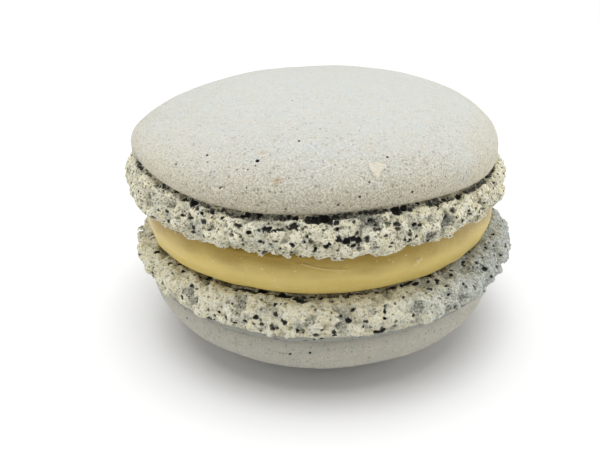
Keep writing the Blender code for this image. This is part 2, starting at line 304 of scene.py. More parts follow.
class Graph:
    """Makes the nodes of one tree, for shapes and for materials alike."""

    def __init__(self, tree):
        self.tree = tree

    def node(self, kind, feeds=None, **settings):
        """A new node with its settings made and its inputs fed, by name or by number."""
        node = self.tree.nodes.new(kind)
        for name, setting in settings.items():
            setattr(node, name, setting)
        for key, value in (feeds or {}).items():
            if isinstance(value, Value):
                self.tree.links.new(value.socket, node.inputs[key])
            else:
                node.inputs[key].default_value = value
        return node

    def output(self, kind, key, feeds=None, **settings):
        """One output of a new node."""
        return Value(self, self.node(kind, feeds, **settings).outputs[key])

    def math(self, operation, first, second=0.0, third=0.0):
        return self.output("ShaderNodeMath", 0, {0: first, 1: second, 2: third}, operation=operation)

    def split(self, point):
        node = self.node("ShaderNodeSeparateXYZ", {0: point})
        return [Value(self, socket) for socket in node.outputs]

    def scaled(self, vector, factor):
        return self.output("ShaderNodeVectorMath", 0, {0: vector, "Scale": factor}, operation="SCALE")

    def moved(self, vector, offset):
        return self.output("ShaderNodeVectorMath", 0, {0: vector, 1: offset}, operation="ADD")

    def distance(self, first, second):
        return self.output("ShaderNodeVectorMath", "Value", {0: first, 1: second}, operation="DISTANCE")

    def step(self, low, high, value):
        """0 below low, 1 above high, and a smooth rise between them."""
        feeds = {"Value": value, "From Min": low, "From Max": high}
        return self.output("ShaderNodeMapRange", 0, feeds, interpolation_type="SMOOTHSTEP")

    def wave(self, angle, harmonics):
        """A closed wavy line round the cake, from the cosine and sine shares of 1, 2, 3... waves."""
        total = angle * 0.0
        for count, (cosine, sine) in enumerate(harmonics, 1):
            turned = angle * count
            total = total + self.math("COSINE", turned) * cosine + self.math("SINE", turned) * sine
        return total

    def lobes(self, angle, directions):
        """Soft bulges round the cake: (direction in degrees, distance, sharpness) each."""
        total = angle * 0.0
        for direction, distance, sharpness in directions:
            facing = self.math("COSINE", angle - math.radians(direction)).at_least(0.0)
            total = total + self.math("POWER", facing, sharpness) * distance
        return total

    def noise(self, point, size, detail=2.0, roughness=0.5):
        """Smooth noise about zero, with lumps of about this size."""
        feeds = {"Vector": point, "Scale": 1 / size, "Detail": detail, "Roughness": roughness}
        return self.output("ShaderNodeTexNoise", 0, feeds) - 0.5

    def cells(self, point, spacing):
        """Distance to the nearest of many scattered middles, and a random number that belongs to that middle."""
        node = self.node("ShaderNodeTexVoronoi", {"Vector": point, "Scale": 1 / spacing})
        draw = self.split(Value(self, node.outputs["Color"]))[0]
        return Value(self, node.outputs["Distance"]) * spacing, draw

    def stretched(self, vector, factors):
        return self.output("ShaderNodeVectorMath", 0, {0: vector, 1: factors}, operation="MULTIPLY")

    def torn(self, point, size, reach):
        """The point pushed about by noise, so that round shapes come out ragged."""
        push = self.output("ShaderNodeTexNoise", 1, {"Vector": point, "Scale": 1 / size, "Detail": 2.0})
        feeds = {0: self.moved(push, (-0.5, -0.5, -0.5)), 1: (2 * reach,) * 3, 2: point}
        return self.output("ShaderNodeVectorMath", 0, feeds, operation="MULTIPLY_ADD")

    def mix(self, share, first, second):
        """From the first colour to the second as the share goes from 0 to 1."""
        first, second = ((*colour, 1) if isinstance(colour, tuple) else colour for colour in (first, second))
        return self.output("ShaderNodeMix", 2, {0: share, 6: first, 7: second}, data_type="RGBA")

    def group(self, tree, feeds):
        """The outputs of a shared group, by name."""
        node = self.node("ShaderNodeGroup", feeds, node_tree=tree)
        return {socket.name: Value(self, socket) for socket in node.outputs}


def new_group(kind, name, inputs, outputs):
    """An empty group of nodes with its inputs and outputs named, its graph, and its inputs by name."""
    tree = bpy.data.node_groups.new(name, kind)
    for direction, sockets in (("INPUT", inputs), ("OUTPUT", outputs)):
        for title, socket in sockets.items():
            tree.interface.new_socket(title, in_out=direction, socket_type="NodeSocket" + socket)
    graph = Graph(tree)
    sockets = tree.nodes.new("NodeGroupInput").outputs
    return tree, graph, {socket.name: Value(graph, socket) for socket in sockets if socket.name}


def middle_of_base():
    """The middle of the flat spot that the lower shell stands on."""
    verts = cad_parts["lower_shell"].data.vertices
    spot = np.array([vert.co for vert in verts if vert.co.z < 0.01 * MM]) / MM
    return Vector((spot.min(0) + spot.max(0)) / 2)


def smooth_step(low, high, values):
    share = np.clip((values - low) / (high - low), 0, 1)
    return share * share * (3 - 2 * share)


def wave(angles, harmonics):
    """A closed wavy line round the cake, from the cosine and sine shares of 1, 2, 3... waves."""
    return sum(
        cosine * np.cos(count * angles) + sine * np.sin(count * angles)
        for count, (cosine, sine) in enumerate(harmonics, 1)
    )


def lobes(angles, directions):
    """Soft bulges round the cake: (direction in degrees, distance, sharpness) each."""
    return sum(
        distance * np.maximum(0, np.cos(angles - math.radians(direction))) ** sharpness
        for direction, distance, sharpness in directions
    )


def pixel_ray(x, y):
    """Where the camera stands, and which way it looks through a pixel of the photograph."""
    turn = (CAMERA_TARGET - CAMERA_PLACE).to_track_quat("-Z", "Y")
    across = (x - PHOTO_WIDTH / 2) / FOCAL_PIXELS
    down = (y - PHOTO_HEIGHT / 2) / FOCAL_PIXELS
    return base_middle + CAMERA_PLACE, (turn @ Vector((across, -down, -1))).normalized()


def surface_of(obj):
    """A tree that rays can be cast at."""
    mesh = obj.data
    return BVHTree.FromPolygons([vert.co for vert in mesh.vertices], [face.vertices for face in mesh.polygons])


def seen_points(marks, surface):
    """Each marked pixel's place on the surface, its outward normal and its radius."""
    found = []
    for x, y, radius in marks:
        place, normal, _, _ = surface.ray_cast(*pixel_ray(x, y))
        if place is not None:
            found.append((place, normal, radius))
    return found


def mesh_object(name, verts, faces=()):
    mesh = bpy.data.meshes.new(name)
    mesh.from_pydata([tuple(vert) for vert in verts], [], faces)
    obj = bpy.data.objects.new(name, mesh)
    bpy.context.scene.collection.objects.link(obj)
    return obj


def store(mesh, name, values):
    """A number for each vertex, which the piece's material reads."""
    attribute = mesh.attributes.new(name, "FLOAT", "POINT")
    attribute.data.foreach_set("value", np.asarray(values, np.float32))


def add_tree(obj, tree, **inputs):
    """A Geometry Nodes modifier with its named inputs set."""
    modifier = obj.modifiers.new(tree.name, "NODES")
    modifier.node_group = tree
    identifiers = {item.name: item.identifier for item in tree.interface.items_tree}
    for name, value in inputs.items():
        modifier[identifiers[name.replace("_", " ")]] = value


def settle(obj):
    """Turns the object's modifiers into plain mesh."""
    bpy.context.view_layer.update()
    evaluated = obj.evaluated_get(bpy.context.evaluated_depsgraph_get())
    mesh = bpy.data.meshes.new_from_object(evaluated)
    old = obj.data
    obj.modifiers.clear()
    obj.data = mesh
    bpy.data.meshes.remove(old)
    mesh.name = obj.name


def foot_form(graph, shell, point, foot_radius):
    """How deep a point lies inside the plain foot, and its angle, distance from the middle and height."""
    x, y, z = graph.split(graph.moved(point, tuple(-shell.middle)))
    angle = graph.math("ARCTAN2", y, x)
    radius = graph.math("SQRT", x * x + y * y)
    height = (z - shell.contact) * shell.direction
    to_rim = graph.step(FOOT_RIM_START, FOOT_TOP, height)
    thinner = graph.lobes(angle, shell.thin_sides) * graph.step(0.0, THIN_FOOT, height)
    height = height - graph.wave(angle, shell.tilt_wave) * (1 - to_rim) - graph.wave(angle, shell.rim_wave) * to_rim
    height = height - thinner
    inward = foot_radius - radius + graph.wave(angle, shell.foot_wave)

    def quarter(depth, rise):
        out = (1 - inward / depth).at_least(0.0)
        up = (height - FOOT_WIDEST) / rise
        return (1 - graph.math("SQRT", out * out + up * up)) * depth

    above = height > FOOT_WIDEST
    form = quarter(EDGE_DEPTH, FOOT_WIDEST) * (1 - above) + quarter(*shell.shoulder) * above
    return form, angle, radius, height


def nearest_void(graph, voids, point):
    """Distance from the wall of the nearest placed void: below zero inside it."""
    index = graph.output("GeometryNodeSampleNearest", "Index", {"Geometry": voids, "Sample Position": point})
    place = graph.output("GeometryNodeInputPosition", 0)
    size = graph.output("GeometryNodeInputNamedAttribute", "Attribute", {"Name": "size"})
    sample = {"Geometry": voids, "Index": index}
    middle = graph.output("GeometryNodeSampleIndex", 0, {**sample, "Value": place}, data_type="FLOAT_VECTOR")
    radius = graph.output("GeometryNodeSampleIndex", 0, {**sample, "Value": size})
    return graph.distance(graph.stretched(point, VOID_FLATNESS), graph.stretched(middle, VOID_FLATNESS)) - radius


def bubble_walls(graph, shell, point):
    """Distance from the wall of the nearest scattered bubble: below zero inside it.

    The shown side has fewer large ones, because its own voids are placed one by one.
    """
    flat = graph.stretched(graph.moved(point, (shell.seed, 0, 0)), VOID_FLATNESS)
    shown = graph.step(*SHOWN_SIDE, graph.split(point)[1])
    walls = None
    for spacing, smallest, largest, share, shown_share in BUBBLES:
        gap, draw = graph.cells(flat, spacing)
        feeds = {"Value": draw, "From Min": 1 - share, "From Max": 1.0, "To Min": smallest, "To Max": largest}
        radius = graph.output("ShaderNodeMapRange", 0, feeds)
        closed = draw < 1 - share + shown * (share - shown_share)
        wall = gap - radius + closed * spacing
        walls = wall if walls is None else walls.at_most(wall)
    return walls


def crumb_relief(graph, shell, torn, height):
    """How far the torn crumb stands out of the plain foot: crags, then lumps like popcorn, then grains."""
    own = graph.moved(torn, (shell.seed, 0, 0))
    crags = graph.noise(own, CRAGS[0], 2.0)
    relief = crags * CRAGS[1]
    for spacing, rise in (LUMPS, GRAINS):
        gap, _ = graph.cells(own, spacing)
        relief = relief + (0.5 * spacing - gap) * rise
    relief = graph.math("SMOOTH_MIN", relief, RELIEF_LIMIT, RELIEF_LIMIT)
    skirt = graph.step(*SKIRT, height - crags * 2.0) * shell.skirt
    return relief * (1 - skirt) - skirt * SKIRT_DEPTH


def nearest_line(graph, shell, point, angle, radius, height):
    """Distance from the nearest torn line: below zero inside it."""
    change = graph.noise(graph.moved(point, (shell.seed, 0, 0)), LINE_CHANGE, 3.0)
    nearest = None
    for line_radius, line_height, half_width, share, follows in shell.torn_lines:
        edge = (graph.lobes(angle, PRESSED_OUT) + graph.wave(angle, FILLING_WAVE)) * follows
        out = radius - line_radius - edge
        up = height - line_height
        gap = graph.math("SQRT", out * out + up * up) - (1 + change * share) * half_width
        nearest = gap if nearest is None else nearest.at_most(gap)
    return nearest


def crumb_tree(shell):
    """A ring of torn crumb: a grid of densities round the foot, cut by bubbles and voids, and meshed."""
    inputs = {"Voids": "Geometry", "Foot Radius": "Float", "Opening": "Float", "Blend": "Float", "Voxel": "Float"}
    inputs["Material"] = "Material"
    tree, graph, given = new_group("GeometryNodeTree", shell.name + "_crumb", inputs, {"Crumb": "Geometry"})
    point = graph.output("GeometryNodeInputPosition", 0)
    form, angle, radius, height = foot_form(graph, shell, point, given["Foot Radius"])
    seen = graph.step(*FOOT_SHOWN, radius)
    torn = graph.torn(point, *TEAR)
    body = form + crumb_relief(graph, shell, torn, height) * seen
    holes = bubble_walls(graph, shell, torn).at_most(nearest_void(graph, given["Voids"], torn))
    holes = holes.at_most(nearest_line(graph, shell, point, angle, radius, height)) + (2 - given["Opening"] - seen)
    body = graph.math("SMOOTH_MIN", body, holes, given["Blend"])
    body = body.at_most(radius - FOOT_INNER_RADIUS)
    reach = shell.foot + CRUMB_ROOM
    ends = (-CRUMB_ROOM, FOOT_TOP + CRUMB_HEADROOM)
    low, high = sorted(shell.contact + shell.direction * end for end in ends)
    x, y, _ = shell.middle
    cube = {
        "Density": (body + 1).at_least(0.0).at_most(2.0),
        "Min": (x - reach, y - reach, low),
        "Max": (x + reach, y + reach, high),
        "Resolution X": 2 * reach / given["Voxel"],
        "Resolution Y": 2 * reach / given["Voxel"],
        "Resolution Z": (high - low) / given["Voxel"],
    }
    volume = graph.output("GeometryNodeVolumeCube", 0, cube)
    mesh = graph.output("GeometryNodeVolumeToMesh", 0, {"Volume": volume, "Threshold": 1.0, "Adaptivity": 0.0})
    island = graph.output("GeometryNodeInputMeshIsland", 0)
    count = graph.output("GeometryNodeAccumulateField", "Total", {"Value": 1.0, "Group ID": island})
    mesh = graph.output("GeometryNodeDeleteGeometry", 0, {0: mesh, 1: count < SCRAP_VERTICES})
    mesh = graph.output("GeometryNodeTriangulate", 0, {0: mesh})
    mesh = graph.output("GeometryNodeRealizeInstances", 0, {0: mesh})
    mesh = graph.output("GeometryNodeSetMaterial", 0, {0: mesh, "Material": given["Material"]})
    graph.node("NodeGroupOutput", {0: mesh})
    return tree


def marks_tree(shell):
    """Stores each point's depth, its distance from bubbles and torn lines, and the skirt, all for the material."""
    inputs = {"Crumb": "Geometry", "Voids": "Object", "Hollows": "Object", "Foot Radius": "Float"}
    tree, graph, given = new_group("GeometryNodeTree", shell.name + "_crumb_marks", inputs, {"Crumb": "Geometry"})
    point = graph.output("GeometryNodeInputPosition", 0)
    torn = graph.torn(point, *TEAR)
    voids = graph.output("GeometryNodeObjectInfo", "Geometry", {"Object": given["Voids"]})
    hollows = graph.output("GeometryNodeObjectInfo", "Geometry", {"Object": given["Hollows"]})
    form, angle, radius, height = foot_form(graph, shell, point, given["Foot Radius"])
    marks = {
        "depth": form,
        "void": nearest_void(graph, voids, torn).at_most(bubble_walls(graph, shell, torn)),
        "hollow": nearest_void(graph, hollows, torn),
        "line": nearest_line(graph, shell, point, angle, radius, height),
        "skirt": graph.step(*SKIRT, height) * shell.skirt,
    }
    mesh = given["Crumb"]
    for name, value in marks.items():
        mesh = graph.output("GeometryNodeStoreNamedAttribute", 0, {"Geometry": mesh, "Name": name, "Value": value})
    graph.node("NodeGroupOutput", {0: mesh})
    return tree


def void_points(name, spheres):
    """Loose points at the middles of the voids, each with its size."""
    obj = mesh_object(name, [middle for middle, _ in spheres])
    store(obj.data, "size", [radius for _, radius in spheres])
    return obj


def make_foot(shell, voids, hollows, material):
    """The crumb of one foot, as one closed mesh. A closed and coarser one first shows where the voids lie."""
    sizes = {"Foot_Radius": shell.foot, "Blend": BUBBLE_BLEND, "Material": material}
    tree = crumb_tree(shell)
    closed = void_points(shell.name + "_closed", [(shell.middle, 0.0)])
    add_tree(closed, tree, Opening=0.0, Voxel=CLOSED_VOXEL, **sizes)
    settle(closed)
    surface = surface_of(closed)
    deep = [(place - normal * VOID_SINK * size, size) for place, normal, size in seen_points(voids, surface)]
    flat = [(place + normal * HOLLOW_RISE * size, size) for place, normal, size in seen_points(hollows, surface)]
    obj = void_points(shell.name + "_foot", deep + flat)
    void_marks = void_points(shell.name + "_voids", deep)
    hollow_marks = void_points(shell.name + "_hollows", flat)
    add_tree(obj, tree, Opening=1.0, Voxel=CRUMB_VOXEL, **sizes)
    settle(obj)
    thin = obj.modifiers.new("thin", "DECIMATE")
    thin.ratio = min(1.0, CRUMB_FACES / len(obj.data.polygons))
    add_tree(obj, marks_tree(shell), Voids=void_marks, Hollows=hollow_marks, Foot_Radius=shell.foot)
    settle(obj)
    for marks in (closed, void_marks, hollow_marks):
        bpy.data.objects.remove(marks)
    finish_mesh(obj)
    return obj


def finish_mesh(obj):
    """Takes the mesh to metres, and shades it smooth."""
    obj.data.transform(((MM, 0, 0, 0), (0, MM, 0, 0), (0, 0, MM, 0), (0, 0, 0, 1)))
    obj.data.shade_smooth()


def even_rows(stations, row):
    """The outline again, with its points evenly spaced along it."""
    stations = np.array(stations)
    along = np.concatenate([[0], np.cumsum(np.hypot(*np.diff(stations, axis=0).T))])
    places = np.linspace(0, along[-1], round(along[-1] / row) + 1)
    return np.column_stack([np.interp(places, along, stations[:, axis]) for axis in (0, 1)])


def flat_rows(height, radius):
    """Coarse rows of a hidden flat side, from its middle to just short of this radius."""
    radii = np.linspace(0, radius, HIDDEN_ROWS, endpoint=False)
    return np.column_stack([radii, np.full(HIDDEN_ROWS, height)])


def lathe(rows, steps):
    """A closed turned mesh: rows run from one pole to the other as (radius, height), and both poles have radius 0."""
    angles = np.arange(steps) * 2 * math.pi / steps
    inner = rows[1:-1]
    radius = np.repeat(inner[:, 0], steps)
    height = np.repeat(inner[:, 1], steps)
    around = np.tile(angles, len(inner))
    ring = np.column_stack([radius * np.cos(around), radius * np.sin(around), height])
    verts = np.vstack([ring, [[0, 0, rows[0, 1]], [0, 0, rows[-1, 1]]]])
    bottom = len(ring)
    top = bottom + 1
    faces = []
    for step in range(steps):
        after = (step + 1) % steps
        faces.append((bottom, after, step))
        last = (len(inner) - 1) * steps
        faces.append((top, last + step, last + after))
    for row in range(len(inner) - 1):
        low = row * steps
        for step in range(steps):
            after = (step + 1) % steps
            faces.append((low + step, low + after, low + steps + after, low + steps + step))
    return verts, faces


def skin_stations(shell):
    """The half section of a skin: its hanging lip and its dome."""
    quarter = np.linspace(0, math.pi / 2, 60)
    lip_radius = shell.skin - shell.groove * (1 - np.sin(quarter))
    lip_height = BELLY - (BELLY - SKIN_UNDERSIDE) * np.cos(quarter)
    rise = shell.height - BELLY
    turn = np.linspace(0, math.pi / 2, 400)[1:]
    dome_radius = shell.skin * np.cos(turn).clip(0) ** (2 / shell.roundness)
    dome_height = BELLY + rise * np.sin(turn) ** (2 / shell.fullness)
    dome_radius[-1] = 0
    lip = np.column_stack([lip_radius, lip_height])
    dome = np.column_stack([dome_radius, dome_height])
    return np.vstack([lip, dome])


def shape_skin(shell, verts):
    """Gives the turned skin its wavy rim and its leaning crown."""
    x, y, h = verts.T
    radius = np.hypot(x, y)
    angle = np.arctan2(y, x)
    rim = smooth_step(FOOT_RIM_START, FOOT_TOP, h) * (1 - smooth_step(FOOT_TOP, shell.height, h))
    rim *= smooth_step(0.5 * shell.skin, 0.94 * shell.skin, radius)
    to_crown = smooth_step(FOOT_TOP, shell.height, h)
    lifted = h + rim * (wave(angle, shell.rim_wave) + lobes(angle, shell.thin_sides)) + shell.lean * x * to_crown
    moved = x + shell.crown_shift * smooth_step(FOOT_TOP, 0.7 * shell.height, h)
    return np.column_stack([moved, y, lifted])


def lumpy(verts, size, rise, seed):
    """Smooth noise about zero at each point, with lumps of about this size and rise."""
    offset = Vector((seed, 0, 0))
    return rise * np.array([noise.noise(Vector(vert) / size + offset) for vert in verts])


def near(verts, place):
    return np.linalg.norm(verts - np.array(place), axis=1)


def near_line(verts, corners):
    """Distance to the nearest point of a line through the corners."""
    nearest = np.full(len(verts), FAR)
    for start, end in zip(corners[:-1], corners[1:]):
        run = end - start
        share = np.clip((verts - start) @ run / (run @ run), 0, 1)
        nearest = np.minimum(nearest, np.linalg.norm(verts - start - share[:, None] * run, axis=1))
    return nearest


def inside_outline(verts, corners, normal):
    """Whether each point lies inside a closed outline, seen along the normal."""
    across = Vector(normal).orthogonal().normalized()
    up = Vector(normal).cross(across)
    flat = np.column_stack([verts @ np.array(across), verts @ np.array(up)])
    outline = np.column_stack([corners @ np.array(across), corners @ np.array(up)])
    inside = np.zeros(len(verts), bool)
    for start, end in zip(outline, np.roll(outline, -1, axis=0)):
        spans = (start[1] > flat[:, 1]) != (end[1] > flat[:, 1])
        rise = end[1] - start[1] or 1e-9
        crossing = start[0] + (flat[:, 1] - start[1]) * (end[0] - start[0]) / rise
        inside ^= spans & (flat[:, 0] < crossing)
    return inside


def split_near(obj, marks):
    """Splits the faces near each mark, so that small holes and edges come out crisp."""
    bm = bmesh.new()
    bm.from_mesh(obj.data)
    tree = KDTree(len(bm.faces))
    for index, face in enumerate(bm.faces):
        tree.insert(face.calc_center_median(), index)
    tree.balance()
    bm.faces.ensure_lookup_table()
    close = {index for place, reach in marks for _, index, _ in tree.find_range(place, reach)}
    edges = {edge for index in close for edge in bm.faces[index].edges}
    bmesh.ops.subdivide_edges(bm, edges=list(edges), cuts=MARK_CUTS, use_grid_fill=True)
    bmesh.ops.triangulate(bm, faces=[face for face in bm.faces if len(face.verts) > 4])
    bm.to_mesh(obj.data)
    bm.free()


def mesh_arrays(obj):
    """The places and the normals of the object's vertices."""
    count = len(obj.data.vertices)
    verts = np.zeros(count * 3)
    obj.data.vertices.foreach_get("co", verts)
    normals = np.zeros(count * 3)
    obj.data.vertex_normals.foreach_get("vector", normals)
    return verts.reshape(-1, 3), normals.reshape(-1, 3)


def pinhole_marks(verts, holes):
    """How deep each pinhole dips, and the distance from the nearest hole's edge."""
    dip = np.zeros(len(verts))
    edge = np.full(len(verts), FAR)
    for place, _, radius in holes:
        away = near(verts, place) / radius
        dip = np.maximum(dip, PINHOLE_DEPTH * radius * (1 - smooth_step(0.2, 1.2, away)))
        edge = np.minimum(edge, (away - 1) * radius)
    return dip, edge


def flake_marks(verts, surface):
    """Distance from the loose flake's outline: below zero on the flake."""
    seen = seen_points([(x, y, 0) for x, y in FLAKE], surface)
    corners = np.array([place for place, _, _ in seen])
    edge = near_line(verts, np.vstack([corners, corners[:1]]))
    on_flake = inside_outline(verts, corners, seen[0][1]) & (near(verts, corners.mean(0)) < FLAKE_RADIUS)
    return np.where(on_flake, -edge, edge)


def make_skin(shell, pinholes, spots, has_flake, material):
    """One smooth skin with its soft unevenness, pinholes and flake."""
    shown = even_rows(skin_stations(shell), LATHE_ROW)
    verts, faces = lathe(np.vstack([flat_rows(SKIN_UNDERSIDE, shown[0, 0]), shown]), LATHE_STEPS)
    verts = shape_skin(shell, verts)
    verts[:, 2] *= shell.direction
    if shell.direction < 0:
        verts[:, 2] = np.maximum(verts[:, 2], -shell.contact)
        faces = [tuple(reversed(face)) for face in faces]
    verts += np.array([shell.middle.x, shell.middle.y, shell.contact])
    obj = mesh_object(shell.name + "_skin", verts, faces)
    obj.data.materials.append(material)
    surface = surface_of(obj)
    holes = seen_points(pinholes, surface)
    marks = [(place, 1.5 * radius + LATHE_ROW) for place, _, radius in holes]
    if has_flake:
        marks += [(place, FLAKE_REACH) for place, _, _ in seen_points([FLAKE_MIDDLE], surface)]
    split_near(obj, marks)
    verts, normals = mesh_arrays(obj)
    dip, hole_edge = pinhole_marks(verts, holes)
    flake_edge = flake_marks(verts, surface) if has_flake else np.full(len(verts), FAR)
    lift = lumpy(verts, *SKIN_LUMPS, shell.seed) + lumpy(verts, *SKIN_GRAIN, shell.seed) - dip
    lift += FLAKE_RISE * (1 - smooth_step(-0.12, 0.02, flake_edge))
    lift -= FLAKE_DIP * (1 - smooth_step(0.0, FLAKE_DIP_WIDTH, flake_edge))
    tan = np.zeros(len(verts))
    for place, _, radius in seen_points(spots, surface):
        tan = np.maximum(tan, 1 - smooth_step(0.2, 1.3, near(verts, place) / radius))
    lift[verts[:, 2] < 0.02] = 0
    moved = verts + normals * lift[:, None]
    moved[:, 2] = np.maximum(moved[:, 2], 0.0)
    obj.data.vertices.foreach_set("co", moved.astype(np.float32).ravel())
    for name, values in (("pinhole", hole_edge), ("flake", flake_edge), ("tan", tan)):
        store(obj.data, name, values)
    finish_mesh(obj)
    return obj


def make_filling(material):
    """The buttercream: a soft band with a bulge, small dents, a crease and a few beads."""
    low, high = LOWER_CONTACT + FILLING_RISE, UPPER_CONTACT + FILLING_RISE
    share = np.linspace(0, 1, 60)
    edge = FILLING_RADIUS + FILLING_FLARE * share + FILLING_BULGE * np.sin(math.pi * share)
    for (depth, reach), from_edge in ((LOWER_TUCK, share), (UPPER_TUCK, 1 - share)):
        edge = edge - depth * np.clip(1 - from_edge / reach, 0, 1) ** 2
    shown = even_rows(np.column_stack([edge, low + (high - low) * share]), FILLING_ROW)
    rows = np.vstack([flat_rows(low, shown[0, 0]), shown, flat_rows(high, shown[-1, 0])[::-1]])
    verts, faces = lathe(rows, LATHE_STEPS)
    radius = np.hypot(verts[:, 0], verts[:, 1])
    angle = np.arctan2(verts[:, 1], verts[:, 0])
    side = smooth_step(*FILLING_SIDE, radius)
    lift = wave(angle, FILLING_WAVE) + lobes(angle, PRESSED_OUT) + lumpy(verts, *FILLING_LUMPS, 5)
    verts[:, :2] *= (1 + side * lift / np.maximum(radius, 1))[:, None]
    verts[:, :2] += np.array(base_middle.xy)
    obj = mesh_object("filling_cream", verts, faces)
    obj.data.materials.append(material)
    surface = surface_of(obj)
    crease = [np.array(place) for place, _, _ in seen_points([(x, y, 0) for x, y in CREASE], surface)]
    beads = seen_points(BEADS, surface)
    marks = [(place, CREASE_REACH) for place in crease]
    split_near(obj, marks + [(place, 2 * radius + 0.15) for place, _, radius in beads])
    verts, normals = mesh_arrays(obj)
    away = near_line(verts, crease)
    ridge = 1 - smooth_step(0.0, CREASE_HALF_WIDTH, away)
    above = smooth_step(0.0, 0.12, verts[:, 2] - np.interp(verts[:, 0], *np.array(crease)[:, [0, 2]].T))
    lift = CREASE_RISE * ridge - CREASE_DROP * above * (1 - smooth_step(0.15, CREASE_REACH, away))
    lift += lumpy(verts, *FILLING_GRAIN, 8) * smooth_step(*FILLING_SIDE, np.hypot(verts[:, 0], verts[:, 1]))
    bead = np.zeros(len(verts))
    for place, _, radius in beads:
        ragged = near(verts, place) / radius + lumpy(verts, *BEAD_EDGE, 4)
        bead = np.maximum(bead, 1 - smooth_step(0.5, 1.1, ragged))
        lift += BEAD_RISE * radius * (1 - smooth_step(0.2, 1.1, ragged))
    moved = verts + normals * lift[:, None]
    obj.data.vertices.foreach_set("co", moved.astype(np.float32).ravel())
    store(obj.data, "bead", np.maximum(bead, 0.5 * ridge))
    finish_mesh(obj)
    return obj


def new_material(name, roughness):
    """A material, the graph of its nodes and its Principled shader."""
    material = bpy.data.materials.new(name)
    material.use_nodes = True
    shader = material.node_tree.nodes["Principled BSDF"]
    shader.inputs["Roughness"].default_value = roughness
    return material, Graph(material.node_tree), shader


def object_point(graph):
    """The point on the piece, in millimetres."""
    return graph.scaled(graph.output("ShaderNodeTexCoord", "Object"), 1 / MM)


def pinprick_group():
    """Scattered round dots of many sizes: 1 inside a dot, and 0 between them."""
    inputs = {"Point": "Vector", "Spacing": "Float", "Smallest": "Float", "Largest": "Float", "Softness": "Float"}
    tree, graph, given = new_group("ShaderNodeTree", "pinpricks", inputs, {"Dots": "Float"})
    gap, draw = graph.cells(given["Point"], given["Spacing"])
    radius = given["Smallest"] + (given["Largest"] - given["Smallest"]) * draw * draw
    dots = graph.step(radius + given["Softness"], radius - given["Softness"], gap)
    graph.node("NodeGroupOutput", {"Dots": dots})
    return tree


def mottle_group():
    """Soft blotches between 0 and 1, of one size and contrast."""
    inputs = {"Point": "Vector", "Size": "Float", "Contrast": "Float"}
    tree, graph, given = new_group("ShaderNodeTree", "mottle", inputs, {"Blotches": "Float"})
    blotches = graph.noise(given["Point"], given["Size"], 3.0, 0.6) * given["Contrast"] + 0.5
    graph.node("NodeGroupOutput", {"Blotches": blotches.at_least(0.0).at_most(1.0)})
    return tree


def dotted(graph, point, spacing, smallest, largest, softness):
    """The shared pinpricks, at these sizes."""
    feeds = {"Point": point, "Spacing": spacing, "Smallest": smallest, "Largest": largest, "Softness": softness}
    return graph.group(pinpricks, feeds)["Dots"]


def mottled(graph, point, size, contrast):
    """The shared blotches, at this size and contrast."""
    return graph.group(mottle, {"Point": point, "Size": size, "Contrast": contrast})["Blotches"]


def mark(graph, name):
    """A number that each vertex of the piece stores."""
    return graph.output("ShaderNodeAttribute", "Fac", attribute_name=name)


def finish_shader(graph, shader, colour, height, bump_distance):
    graph.tree.links.new(colour.socket, shader.inputs["Base Color"])
    bump = graph.output("ShaderNodeBump", 0, {"Height": height, "Distance": bump_distance * MM})
    graph.tree.links.new(bump.socket, shader.inputs["Normal"])


def skin_material(name, crown, edge, low, high):
    """Matt baked skin: cool at the crown and warmer to the edge, partly by painted light, with fine pinpricks, spots
    and pinholes.
    """
    material, graph, shader = new_material(name, 0.7)
    point = object_point(graph)
    height = graph.split(point)[2]
    # From the crown colour to the edge colour: on the upper skin cooler and lighter at the crown, warmer and a little
    # darker to the edge, partly its baked tone and partly painted light from above
    crown_to_edge_tone_and_light = graph.step(high, low, height + graph.noise(point, 6.0) * 4.0)
    colour = graph.mix(crown_to_edge_tone_and_light, crown, edge)
    pink = mottled(graph, point, 1.1, 3.0)
    green = mottled(graph, graph.moved(point, (7, 0, 3)), 0.7, 3.0)
    colour = graph.mix(pink * 0.25, colour, PINK)
    colour = graph.mix(green * 0.2, colour, GREEN)
    rough = graph.step(high + 2.0, low + 1.5, height + graph.noise(point, 5.0) * 3.0)
    rough = rough * (1 + 0.5 * graph.step(*ROUGH_REACH, graph.distance(point, ROUGH_PLACE)))
    grit = mottled(graph, point, 0.17, 8.0)
    colour = graph.mix(grit * (0.13 + 0.42 * rough), colour, GRIT)
    dots = dotted(graph, point, 0.36, 0.0, 0.15, 0.04)
    colour = graph.mix(dots * (0.1 + 0.38 * rough), colour, DOT)
    # Small scattered pits, dented by the bump and painted near black inside as painted shade
    pits = dotted(graph, point, 1.7, -0.05, 0.1, 0.02)
    colour = graph.mix(pits * 0.75, colour, PIT_SHADE)
    tan = mark(graph, "tan") * (0.3 + pink)
    colour = graph.mix(tan.at_most(1.0) * 0.6, colour, TAN)
    flake = mark(graph, "flake") + graph.noise(point, 0.4, 2.0) * 0.3
    colour = graph.mix(graph.step(0.04, -0.08, flake) * 0.5, colour, FLAKE_PALE)
    shadow = graph.step(0.16, 0.05, flake) * graph.step(-0.04, 0.02, flake) * green
    colour = graph.mix(shadow * 0.6, colour, FLAKE_SHADOW)
    # Painted shade: the pinholes are painted near black inside
    colour = graph.mix(graph.step(0.02, -0.03, mark(graph, "pinhole")), colour, PINHOLE_SHADE)
    relief = -0.3 * grit - dots * 0.6 - pits
    finish_shader(graph, shader, colour, relief, 0.06)
    return material


